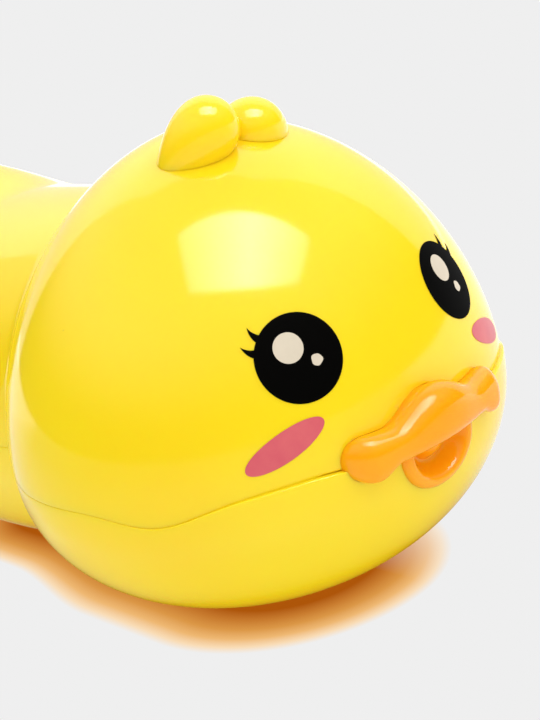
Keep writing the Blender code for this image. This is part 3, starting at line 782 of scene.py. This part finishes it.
def plastic(name, colours, light, deep, glow_radius, share=0.22, rough=0.07, specular=0.5):
    """Glossy translucent moulded plastic."""
    if name in bpy.data.materials:
        return bpy.data.materials[name]
    material, shader, coords, surface = moulded_material(
        name, light, specular, Ripple_Scale=70.0, Ripple=0.06, Scratches=0.10, Base_Roughness=rough)
    tree = material.node_tree
    dust = placed(tree, specks_group, "Plastic Specks", Vector=coords, Scale=75.0, Size=0.022,
                  Share=share)["Mask"]
    thick = calc(tree, "MULTIPLY_ADD", surface["Thickness"], 2.2, -0.75, clamp=True)
    body = mixed(tree, thick, tuple(light), tuple(deep))
    fill(tree, shader, Base_Color=mixed(tree, dust, body, tuple(colours.speck)),
         Roughness=calc(tree, "MULTIPLY_ADD", dust, 0.4, surface["Roughness"]),
         Subsurface_Weight=0.35, Subsurface_Radius=glow_radius, Subsurface_Scale=0.004)
    return material


def ink(name, light, deep, rough=0.32, specular=0.35):
    """Film of printing ink, a little uneven where it lies thin."""
    if name in bpy.data.materials:
        return bpy.data.materials[name]
    material, shader, coords, surface = moulded_material(
        name, light, specular, Ripple_Scale=420.0, Ripple=0.04, Scratches=0.12, Base_Roughness=rough)
    tree = material.node_tree
    cloud = new_node(tree, "TexNoise", Vector=coords, Scale=260.0, Detail=4.0).outputs["Fac"]
    uneven = calc(tree, "MULTIPLY_ADD", cloud, 2.0, -0.5, clamp=True)
    fill(tree, shader, Base_Color=mixed(tree, uneven, tuple(light), tuple(deep)),
         Roughness=surface["Roughness"])
    return material


def yellow_plastic(scene):
    colours = scene.duck_colours
    return plastic("yellow plastic", colours, colours.yellow, colours.deep_yellow, (1.0, 0.55, 0.08))


def orange_plastic(scene):
    colours = scene.duck_colours
    return plastic("orange plastic", colours, colours.orange, colours.deep_orange, (1.0, 0.35, 0.05),
                   share=0.12, rough=0.06, specular=0.38)


# Operators

class BuildShells(bpy.types.Operator):
    """Build the upper and the lower half shell with their rims and the openings for the bill"""
    bl_idname = "duck.build_shells"
    bl_label = "Shells"

    def execute(self, context):
        scene = context.scene
        form = DuckForm(scene)
        bar = bill_bar(form, scene.duck_bill, OPENING_ROOM)
        cup = mouth_cup(form, scene.duck_mouth, OPENING_ROOM, True)
        helpers = [finish_piece("bill_cutter", bar, form.place), finish_piece("mouth_cutter", cup, form.place)]
        for upper, name in ((True, "upper_shell"), (False, "lower_shell")):
            shell = finish_piece(name + "_skin", mapped_grid(shell_points(form, upper)), form.place)
            cut(shell, helpers)
            dress(shell, yellow_plastic(scene), "yellow", name)
        drop_helpers(helpers)
        return {"FINISHED"}


class BuildBill(bpy.types.Operator):
    """Build the bill with its hump and lobes, the lower lip and the tongue"""
    bl_idname = "duck.build_bill"
    bl_label = "Bill"

    def execute(self, context):
        scene = context.scene
        form = DuckForm(scene)
        bill = finish_piece("bill_skin", bill_bar(form, scene.duck_bill), form.place)
        helpers = [finish_piece("cup", mouth_cup(form, scene.duck_mouth), form.place)]
        cut(bill, helpers, "UNION")
        drop_helpers(helpers)
        dress(bill, orange_plastic(scene), "orange", "bill")
        return {"FINISHED"}


class BuildTufts(bpy.types.Operator):
    """Build the two tufts on the crown"""
    bl_idname = "duck.build_tufts"
    bl_label = "Tufts"

    def execute(self, context):
        scene = context.scene
        form = DuckForm(scene)
        helpers = [finish_piece("crown", crown_form(form, SEAT_ROOM), form.place)]
        for side, name in ((-1, "tuft_right"), (1, "tuft_left")):
            tuft = finish_piece(name + "_skin", tuft_lump(form, scene.duck_tufts, side), form.place)
            cut(tuft, helpers)
            dress(tuft, yellow_plastic(scene), "yellow", name)
        drop_helpers(helpers)
        return {"FINISHED"}


def print_on_face(form, flat, at, lift, thickness, material, slot, node):
    """Prints a flat patch on the face, as the piece of a node."""
    film = lay_on_face(form, flat, at, lift, thickness)
    dress(finish_piece(node + "_print", film, form.place), material, slot, node)


class PrintFace(bpy.types.Operator):
    """Print the eyes with their lashes and glints, and the cheeks"""
    bl_idname = "duck.print_face"
    bl_label = "Printed face"

    def execute(self, context):
        scene = context.scene
        face, colours = scene.duck_face, scene.duck_colours
        form = DuckForm(scene)
        black = ink("black ink", colours.black, colours.black, 0.5, 0.015)
        cream = ink("cream ink", colours.cream, [c * 0.93 for c in colours.cream])
        pink = ink("pink ink", colours.pink, colours.deep_pink)
        for side, name in ((-1, "right"), (1, "left")):
            at = face_frame(form, side * face.eye_out, face.eye_up)
            eye = disc(face.eye_radius, face.eye_radius)
            for angle in (face.lash_high, face.lash_low):
                add_lash(eye, face, angle if side > 0 else math.pi - angle, side)
            print_on_face(form, eye, at, PRINT_LIFT, face.ink, black, "black", "eye_" + name)
            swing = -side * face.eye_turn
            for glint, size, wobble in ((face.big_glint, "big", 0.0), (face.small_glint, "small", 0.05)):
                across, up, radius = glint
                spot = disc(radius, radius, 72, 8, wobble)
                turned(spot, swing, across * math.cos(swing) - up * math.sin(swing),
                       across * math.sin(swing) + up * math.cos(swing))
                print_on_face(form, spot, at, PRINT_LIFT + face.ink * 1.3, face.ink, cream, "cream",
                              "glint_%s_%s" % (name, size))
            cheek = disc(face.cheek_half_length, face.cheek_half_height)
            turned(cheek, -side * face.cheek_tilt, 0.0, 0.0)
            at = face_frame(form, side * face.cheek_out, face.cheek_up)
            print_on_face(form, cheek, at, PRINT_LIFT, face.ink, pink, "pink", "cheek_" + name)
        return {"FINISHED"}


def glowing_material(name):
    """New material that shines by itself, with its node tree and its Emission node."""
    material = bpy.data.materials.new(name)
    material.use_nodes = True
    tree = material.node_tree
    tree.nodes.remove(tree.nodes["Principled BSDF"])
    light = new_node(tree, "Emission")
    fill(tree, tree.nodes["Material Output"], Surface=light.outputs["Emission"])
    return material, tree, light


def floor_material(scene, place):
    """Evenly bright pale floor that shines by itself, with painted shadow and painted warm light round the
    shell's foot.
    """
    colours, settings = scene.duck_colours, scene.duck_stage
    material, tree, light = glowing_material("pale floor")
    at = object_axes(tree)
    middle = settings.glow_length / 2
    aside = calc(tree, "SUBTRACT", at["X"], place.x + settings.glow_aside)
    along = calc(tree, "ABSOLUTE", calc(tree, "SUBTRACT", at["Y"], place.y + middle))
    past = calc(tree, "MAXIMUM", calc(tree, "SUBTRACT", along, middle), 0.0)
    wide = calc(tree, "MAXIMUM", calc(tree, "MULTIPLY", aside, -1.0), calc(tree, "MULTIPLY", aside, 1.2))
    squares = calc(tree, "ADD", calc(tree, "POWER", wide, 2.0), calc(tree, "POWER", past, 2.0))
    edge = smooth_step(tree, at["Y"], place.y + 0.024, place.y + 0.058,
                       settings.glow_reach, settings.glow_waist)
    near = calc(tree, "DIVIDE", calc(tree, "SQRT", squares), edge)
    # Painted shadow and warm light: dark amber at the shell's foot, fading to the pale floor further off
    ramp = new_node(tree, "ValToRGB", Fac=near)
    pale = tuple(colours.floor)
    stops = ((0.58, tuple(colours.foot_shade_and_glow)), *FOOT_SHADE_AND_GLOW_STOPS, (1.0, pale))
    elements = ramp.color_ramp.elements
    while len(elements) < len(stops):
        elements.new(0.5)
    for element, (position, tint) in zip(elements, stops):
        element.position = position
        element.color = (*tint, 1.0)
    # The painted shadow and warm light fade to pale towards the duck's left side
    pale_side = calc(tree, "MULTIPLY_ADD", aside, 25.0, -0.1, clamp=True)
    painted_foot_shade = mixed(tree, pale_side, ramp.outputs["Color"], pale)
    # Seen only in the gloss: a painted reflection of the floor, dark and warm at the duck's foot, plain further
    # off and brightest past its left side
    warm = calc(tree, "MULTIPLY_ADD", near, 1.0, -0.85, clamp=True)
    away = calc(tree, "ADD", calc(tree, "MULTIPLY", at["X"], 0.85), calc(tree, "MULTIPLY", at["Y"], 0.53))
    bright = calc(tree, "MULTIPLY_ADD", away, 7.0, 0.10, clamp=True)
    far = calc(tree, "MULTIPLY_ADD", near, 0.1, -0.2, clamp=True)
    table = mixed(tree, far, (settings.table,) * 3, (settings.table_far,) * 3)
    mirrored = mixed(tree, bright, mixed(tree, warm, MIRRORED_FOOT_SHADE, table), (1.3,) * 3)
    path = new_node(tree, "LightPath").outputs
    fill(tree, light, Color=mixed(tree, path["Is Glossy Ray"], painted_foot_shade, mirrored),
         Strength=calc(tree, "MULTIPLY_ADD", path["Is Diffuse Ray"], settings.bounce - 1, 1.0))
    return material


def softbox(settings, place):
    """Lit panel over the duck, brightest along its middle, that only mirrors in the gloss."""
    half_length = 0.55 * SOFTBOX_HEIGHT
    bm = bmesh.new()
    bmesh.ops.create_grid(bm, x_segments=16, y_segments=1, size=0.5)
    for vert in bm.verts:
        vert.co.y *= 1 - 0.24 * (2 * vert.co.x) ** 2
    bmesh.ops.scale(bm, verts=bm.verts, vec=(2 * half_length, 1.2 * half_length, 1.0))
    panel = finish_piece("softbox", bm, Vector((0.0, 0.0, 0.0)))
    panel.location = place + SOFTBOX_TOWARD * SOFTBOX_HEIGHT
    panel.rotation_euler.z = math.atan2(SOFTBOX_ACROSS.y, SOFTBOX_ACROSS.x)
    panel.visible_camera = panel.visible_diffuse = panel.visible_shadow = False
    material, tree, light = glowing_material("softbox cloth")
    share = calc(tree, "DIVIDE", calc(tree, "ABSOLUTE", object_axes(tree)["X"]), half_length)
    fall = settings.softbox_edge - settings.softbox
    fill(tree, light, Strength=calc(tree, "MULTIPLY_ADD", share, fall, settings.softbox))
    panel.data.materials.append(material)
    return panel


def aimed(name, data, axes, middle):
    """Links a light or a camera whose X, Y and Z axes and middle are given. It looks along -Z."""
    obj = bpy.data.objects.new(name, data)
    matrix = Matrix(axes).transposed().to_4x4()
    matrix.translation = middle
    obj.matrix_world = matrix
    bpy.context.scene.collection.objects.link(obj)
    return obj


def area_light(name, middle, normal, across, size, brightness):
    """Rectangular light that faces along normal, with its width along across."""
    data = bpy.data.lights.new(name, "AREA")
    data.shape = "RECTANGLE"
    data.size, data.size_y = size
    data.energy = brightness * size[0] * size[1] * math.pi
    back = -normal.normalized()
    across = (across - back * across.dot(back)).normalized()
    obj = aimed(name, data, (across, back.cross(across), back), middle)
    obj.visible_camera = False
    return obj


def studio_world(scene):
    """Room that fills evenly, is pale behind everything, and is mirrored dark low down and lighter above."""
    settings = scene.duck_stage
    world = bpy.data.worlds.new("studio")
    world.use_nodes = True
    tree = world.node_tree
    coords = new_node(tree, "TexCoord").outputs["Generated"]
    height = new_node(tree, "SeparateXYZ", Vector=coords).outputs["Z"]
    side = new_node(tree, "VectorMath")
    side.operation = "DOT_PRODUCT"
    feed(tree, side.inputs[0], coords)
    feed(tree, side.inputs[1], WALL_TOWARD)
    wall = calc(tree, "MULTIPLY", side.outputs["Value"], 1.2, clamp=True)
    above = mixed(tree, wall, (settings.room,) * 3, (settings.wall,) * 3)
    room = mixed(tree, smooth_step(tree, height, 0.15, 0.70), (0.06,) * 3, above)
    path = new_node(tree, "LightPath").outputs
    light = mixed(tree, path["Is Glossy Ray"], (settings.fill,) * 3, room)
    seen = mixed(tree, path["Is Camera Ray"], light, tuple(scene.duck_colours.floor))
    fill(tree, tree.nodes["Background"], Color=seen)
    scene.world = world


class BuildStage(bpy.types.Operator):
    """Build the pale floor, the lights and the camera"""
    bl_idname = "duck.build_stage"
    bl_label = "Stage"

    def execute(self, context):
        scene = context.scene
        settings = scene.duck_stage
        form = DuckForm(scene)
        bm = bmesh.new()
        bmesh.ops.create_circle(bm, cap_ends=True, segments=96, radius=settings.floor_radius)
        floor = finish_piece("floor", bm, Vector((0.0, 0.0, -0.0001)))
        floor.data.materials.append(floor_material(scene, form.place))
        softbox(settings, form.place)
        key = area_light("key", form.place + SOFTBOX_TOWARD * 0.7, -SOFTBOX_TOWARD, SOFTBOX_ACROSS,
                         (0.84, 0.50), settings.key)
        key.visible_glossy = False
        behind = BACKDROP_TOWARD
        area_light("backdrop", form.place + behind * 0.9 + Vector((0.0, 0.0, 1.45)), -behind,
                   Vector((-behind.y, behind.x, 0.0)), (2.34, 2.96), settings.backdrop)
        studio_world(scene)
        scene.camera = photo_camera(settings, form.place)
        scene.view_settings.view_transform = "Standard"
        return {"FINISHED"}


def photo_camera(settings, place):
    """Camera at the photograph's viewing angle."""
    a, e, r = settings.azimuth, settings.elevation, settings.roll
    back = Vector((math.sin(a) * math.cos(e), -math.cos(a) * math.cos(e), math.sin(e)))
    level = (-back).cross(Vector((0.0, 0.0, 1.0))).normalized()
    upright = level.cross(-back)
    right = level * math.cos(r) + upright * math.sin(r)
    up = upright * math.cos(r) - level * math.sin(r)
    pixels = settings.focal * PICTURE_HEIGHT / SENSOR
    across = (settings.across - PICTURE_WIDTH / 2) / pixels
    rise = (PICTURE_HEIGHT / 2 - settings.down) / pixels
    data = bpy.data.cameras.new("camera")
    data.lens = settings.focal
    data.clip_start = 0.01
    return aimed("camera", data, (right, up, back),
                 place - (right * across + up * rise - back) * settings.distance)


class DuckPanel(bpy.types.Panel):
    """Lists the duck's pieces"""
    bl_idname = "DUCK_PT_pieces"
    bl_label = "Toy duck"
    bl_space_type = "VIEW_3D"
    bl_region_type = "UI"
    bl_category = "Duck"

    def draw(self, context):
        for operator in OPERATORS:
            self.layout.operator(operator.bl_idname)


OPERATORS = (BuildShells, BuildBill, BuildTufts, PrintFace, BuildStage)


def register():
    for group in GROUPS.values():
        bpy.utils.register_class(group)
    for operator in OPERATORS:
        bpy.utils.register_class(operator)
    bpy.utils.register_class(DuckPanel)
    for name, group in GROUPS.items():
        setattr(bpy.types.Scene, name, PointerProperty(type=group))


def unregister():
    for name in GROUPS:
        delattr(bpy.types.Scene, name)
    bpy.utils.unregister_class(DuckPanel)
    for operator in reversed(OPERATORS):
        bpy.utils.unregister_class(operator)
    for group in reversed(GROUPS.values()):
        bpy.utils.unregister_class(group)


def main():
    register()
    bpy.ops.duck.build_shells()
    bpy.ops.duck.build_bill()
    bpy.ops.duck.build_tufts()
    bpy.ops.duck.print_face()
    bpy.ops.duck.build_stage()


if __name__ == "__main__":
    main()
